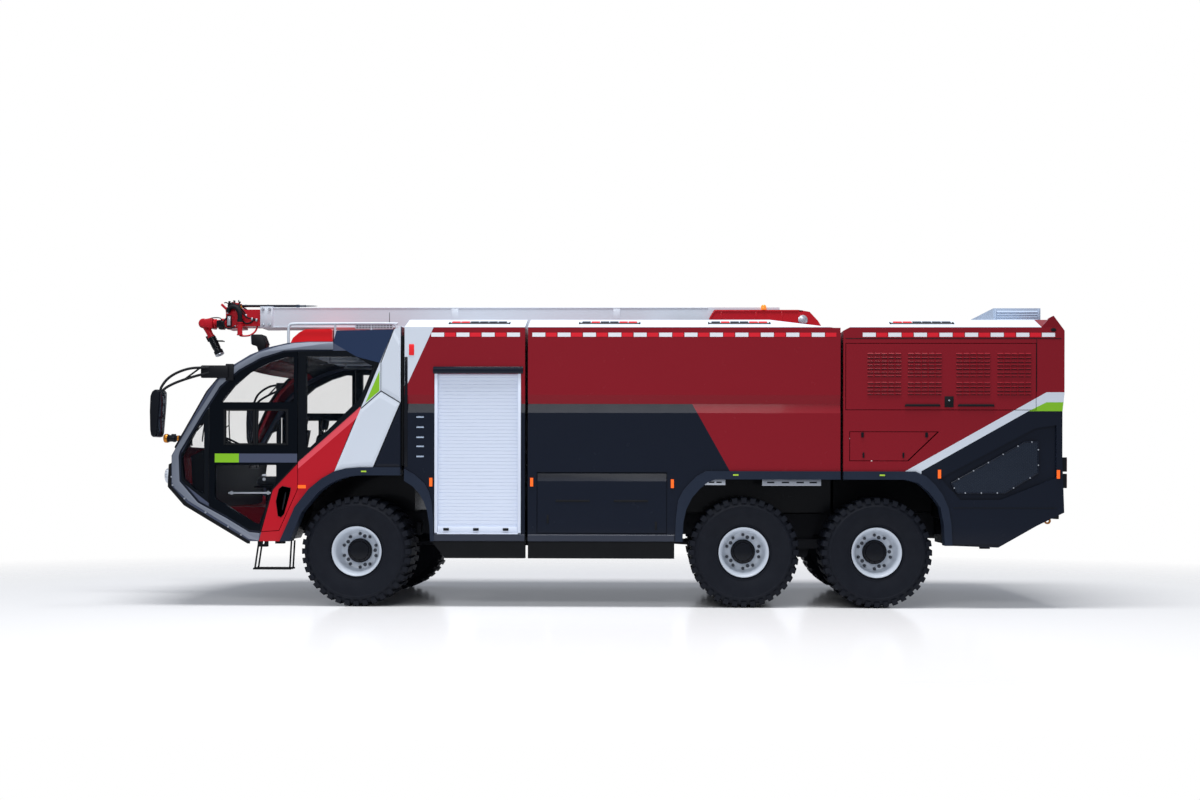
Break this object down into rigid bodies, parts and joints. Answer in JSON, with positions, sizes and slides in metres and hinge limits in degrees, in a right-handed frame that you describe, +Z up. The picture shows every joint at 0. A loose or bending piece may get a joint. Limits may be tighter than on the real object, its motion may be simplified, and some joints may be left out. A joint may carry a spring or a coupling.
{
  "type": "airport fire truck",
  "caption": "Three-axle airport fire truck with a glazed front cab, equipment lockers, a tank body, a rear engine bay and a telescopic roof boom with a monitor.",
  "frame": {"origin": "on the ground at the middle of the vehicle's length and width, standing on its wheels", "axes": "+X to the rear, +Y to the vehicle's right, +Z up"},
  "size_m": [11.634, 3.85, 3.947],
  "materials": {
    "red_paint": "gloss",
    "white_paint": "gloss",
    "grey_paint": "metallic gloss",
    "graphite_paint": "gloss",
    "black_paint": "gloss",
    "black_plastic": "satin",
    "trim_grey": "satin",
    "tinted_glass": "tinted",
    "chassis_black": "painted",
    "engine_iron": "painted",
    "steel": "brushed",
    "shutter_aluminium": "satin",
    "tyre_rubber": "matte",
    "rim_paint": "satin",
    "lamp_clear": "clear lens",
    "lamp_amber": "amber lens",
    "lamp_red": "red lens",
    "seat_fabric": "woven"
  },
  "bodies": {
    "root": {"arch_trims": "trim_grey", "axle_beams": "chassis_black", "bumper_bracket": "black_plastic", "bumper_guard": "black_plastic", "cab_glazing": "tinted_glass", "cab_shell": "grey_paint", "chassis_frame": "chassis_black", "dashboard": "black_plastic", "engine_block": "engine_iron", "engine_module": "red_paint", "entry_steps": "steel", "exhaust_housing": "white_paint", "head_lamps": "lamp_clear", "intake_grilles": "black_plastic", "leaf_springs": "chassis_black", "locker_module": "red_paint", "marker_lamps": "lamp_amber", "mirrors": "black_plastic", "roller_shutters": "shutter_aluminium", "roof_beacon": "lamp_red", "roof_rails": "steel", "seats": "seat_fabric", "side_skirts": "black_plastic", "steering_wheel": "black_plastic", "tank_module": "red_paint"},
    "knuckle_left": {"knuckle_left": "chassis_black"},
    "knuckle_right": {"knuckle_right": "chassis_black"},
    "tie_rod": {"tie_rod": "steel"},
    "door_left": {"cab_door_left": "black_paint", "door_glass_left": "tinted_glass"},
    "door_right": {"cab_door_right": "black_paint", "door_glass_right": "tinted_glass"},
    "turret": {"boom_turret": "red_paint"},
    "boom_outer": {"boom_outer": "white_paint"},
    "boom_inner": {"boom_inner": "red_paint"},
    "lance": {"piercing_lance": "steel"},
    "lift_barrels": {"lift_barrels": "red_paint"},
    "lift_rods": {"lift_rods": "steel"},
    "monitor_elbow": {"monitor_elbow": "red_paint"},
    "monitor_nozzle": {"monitor_nozzle": "red_paint"},
    "bumper_column": {"bumper_column": "black_plastic"},
    "bumper_nozzle": {"bumper_nozzle": "black_plastic"},
    "flap_left": {"locker_flap_left": "graphite_paint"},
    "flap_right": {"locker_flap_right": "graphite_paint"},
    "engine_door_left": {"engine_door_left": "red_paint"},
    "engine_door_right": {"engine_door_right": "red_paint"},
    "hatch_left": {"side_hatch_left": "red_paint"},
    "hatch_right": {"side_hatch_right": "red_paint"},
    "wheel_front_left": {"tyre_front_left": "tyre_rubber", "rim_front_left": "rim_paint"},
    "wheel_front_right": {"tyre_front_right": "tyre_rubber", "rim_front_right": "rim_paint"},
    "wheel_mid_left": {"tyre_mid_left": "tyre_rubber", "rim_mid_left": "rim_paint"},
    "wheel_mid_right": {"tyre_mid_right": "tyre_rubber", "rim_mid_right": "rim_paint"},
    "wheel_rear_left": {"tyre_rear_left": "tyre_rubber", "rim_rear_left": "rim_paint"},
    "wheel_rear_right": {"tyre_rear_right": "tyre_rubber", "rim_rear_right": "rim_paint"}
  },
  "joints": [
    {"name": "wheel_front_left_spin", "type": "hinge", "parent": "knuckle_left", "child": "wheel_front_left", "pos_m": [-2.873, -1.185, 0.675], "axis": [0, 1, 0], "continuous": true},
    {"name": "wheel_front_right_spin", "type": "hinge", "parent": "knuckle_right", "child": "wheel_front_right", "pos_m": [-2.873, 1.185, 0.675], "axis": [0, 1, 0], "continuous": true},
    {"name": "wheel_mid_left_spin", "type": "hinge", "parent": "root", "child": "wheel_mid_left", "pos_m": [1.882, -1.185, 0.675], "axis": [0, 1, 0], "continuous": true},
    {"name": "wheel_mid_right_spin", "type": "hinge", "parent": "root", "child": "wheel_mid_right", "pos_m": [1.882, 1.185, 0.675], "axis": [0, 1, 0], "continuous": true},
    {"name": "wheel_rear_left_spin", "type": "hinge", "parent": "root", "child": "wheel_rear_left", "pos_m": [3.505, -1.185, 0.675], "axis": [0, 1, 0], "continuous": true},
    {"name": "wheel_rear_right_spin", "type": "hinge", "parent": "root", "child": "wheel_rear_right", "pos_m": [3.505, 1.185, 0.675], "axis": [0, 1, 0], "continuous": true},
    {"name": "steer_left", "type": "hinge", "parent": "root", "child": "knuckle_left", "pos_m": [-2.873, -1, 0.675], "axis": [0, 0, 1], "range_deg": [-30, 30]},
    {"name": "steer_right", "type": "hinge", "parent": "root", "child": "knuckle_right", "pos_m": [-2.873, 1, 0.675], "axis": [0, 0, 1], "range_deg": [-30, 30]},
    {"name": "tie_rod_turn", "type": "hinge", "parent": "knuckle_left", "child": "tie_rod", "pos_m": [-2.708, -1, 0.545], "axis": [0, 0, 1], "range_deg": [-30, 30]},
    {"name": "door_left", "type": "hinge", "parent": "root", "child": "door_left", "pos_m": [-4.678, -1.5, 2], "axis": [0, 0, -1], "range_deg": [0, 80]},
    {"name": "door_right", "type": "hinge", "parent": "root", "child": "door_right", "pos_m": [-4.678, 1.5, 2], "axis": [0, 0, 1], "range_deg": [0, 80]},
    {"name": "flap_left", "type": "hinge", "parent": "root", "child": "flap_left", "pos_m": [0.127, -1.5, 0.912], "axis": [1, 0, 0], "range_deg": [0, 90]},
    {"name": "flap_right", "type": "hinge", "parent": "root", "child": "flap_right", "pos_m": [0.127, 1.5, 0.912], "axis": [-1, 0, 0], "range_deg": [0, 90]},
    {"name": "engine_door_left", "type": "hinge", "parent": "root", "child": "engine_door_left", "pos_m": [4.27, -1.5, 3.227], "axis": [-1, 0, 0], "range_deg": [0, 85]},
    {"name": "engine_door_right", "type": "hinge", "parent": "root", "child": "engine_door_right", "pos_m": [4.27, 1.5, 3.227], "axis": [1, 0, 0], "range_deg": [0, 85]},
    {"name": "hatch_left", "type": "hinge", "parent": "root", "child": "hatch_left", "pos_m": [3.707, -1.5, 2.15], "axis": [-1, 0, 0], "range_deg": [0, 85]},
    {"name": "hatch_right", "type": "hinge", "parent": "root", "child": "hatch_right", "pos_m": [3.707, 1.5, 2.15], "axis": [1, 0, 0], "range_deg": [0, 85]},
    {"name": "boom_slew", "type": "hinge", "parent": "root", "child": "turret", "pos_m": [2.277, 0, 3.42], "axis": [0, 0, 1], "range_deg": [-30, 30]},
    {"name": "boom_lift", "type": "hinge", "parent": "turret", "child": "boom_outer", "pos_m": [2.727, 0, 3.67], "axis": [0, 1, 0], "range_deg": [0, 50]},
    {"name": "boom_extend", "type": "slide", "parent": "boom_outer", "child": "boom_inner", "axis": [-1, 0, 0], "range_m": [0, 4]},
    {"name": "barrel_turn", "type": "hinge", "parent": "turret", "child": "lift_barrels", "pos_m": [1.887, 0, 3.53], "axis": [0, 1, 0], "range_deg": [0, 70.5]},
    {"name": "rod_slide", "type": "slide", "parent": "lift_barrels", "child": "lift_rods", "axis": [-0.998, 0, 0.0629], "range_m": [0, 0.554]},
    {"name": "lance_swing", "type": "hinge", "parent": "boom_inner", "child": "lance", "pos_m": [-4.833, 0, 3.88], "axis": [0, -1, 0], "range_deg": [0, 170]},
    {"name": "monitor_roll", "type": "hinge", "parent": "boom_inner", "child": "monitor_elbow", "pos_m": [-4.973, 0, 3.64], "axis": [1, 0, 0], "range_deg": [-45, 45]},
    {"name": "monitor_tilt", "type": "hinge", "parent": "monitor_elbow", "child": "monitor_nozzle", "pos_m": [-5.273, 0, 3.64], "axis": [0, 1, 0], "range_deg": [0, 110]},
    {"name": "bumper_pan", "type": "hinge", "parent": "root", "child": "bumper_column", "pos_m": [-5.513, 0, 1.9], "axis": [0, 0, 1], "range_deg": [-60, 60]},
    {"name": "bumper_tilt", "type": "hinge", "parent": "bumper_column", "child": "bumper_nozzle", "pos_m": [-5.513, 0, 2.1], "axis": [0, 1, 0], "range_deg": [-15, 45]}
  ],
  "couplings": [
    {"joint": "steer_right", "follows": "steer_left", "ratio": 1},
    {"joint": "tie_rod_turn", "follows": "steer_left", "ratio": -1},
    {"joint": "barrel_turn", "follows": "boom_lift", "ratio": 1.4002},
    {"joint": "rod_slide", "follows": "boom_lift", "m_per_rad": 0.62317}
  ]
}
